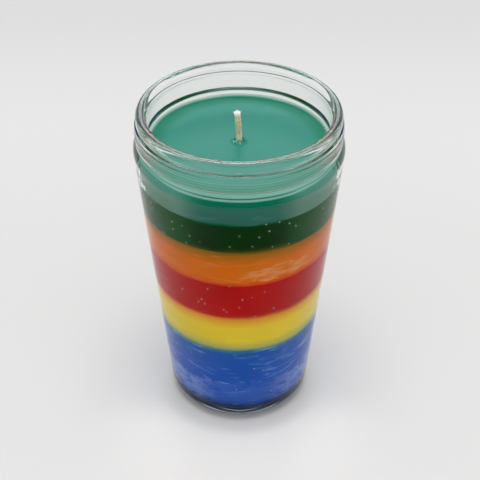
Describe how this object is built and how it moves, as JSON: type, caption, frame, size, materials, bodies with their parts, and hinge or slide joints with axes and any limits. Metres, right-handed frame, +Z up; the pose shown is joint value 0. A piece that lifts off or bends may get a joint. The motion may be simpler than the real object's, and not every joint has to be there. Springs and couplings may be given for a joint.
{
  "type": "layered container candle",
  "caption": "Container candle with stacked bands of coloured wax and a cotton wick, poured in a clear tapered glass tumbler with a thick bead lip.",
  "frame": {"origin": "centre of the ring that the glass stands on, on the plane it rests on", "axes": "+Z up along the axis of the glass and the wick, -Y towards the picture's viewer, +X to the viewer's right"},
  "size_m": [0.083, 0.083, 0.14],
  "materials": {
    "clear_glass": "clear, fire-polished soda-lime glass with a faint green tint",
    "blue_wax": "dyed paraffin wax, satin",
    "yellow_wax": "dyed paraffin wax, satin",
    "red_wax": "dyed paraffin wax, satin",
    "orange_wax": "dyed paraffin wax, satin",
    "dark_green_wax": "dyed paraffin wax, satin",
    "dusky_green_wax": "dyed paraffin wax, satin",
    "teal_wax": "dyed paraffin wax, satin",
    "cotton": "braided cotton, waxed, with a frayed white end",
    "tinned_steel": "thin tinned sheet, stamped",
    "sticker_paper": "double-sided sticker, matt"
  },
  "bodies": {
    "root": {"glass_tumbler": "clear_glass", "wax_blue": "blue_wax", "wax_yellow": "yellow_wax", "wax_red": "red_wax", "wax_orange": "orange_wax", "wax_dark_green": "dark_green_wax", "wax_dusky_green": "dusky_green_wax", "wax_teal": "teal_wax", "wick": "cotton", "wick_base": "tinned_steel", "wick_base_sticker": "sticker_paper"}
  },
  "joints": []
}
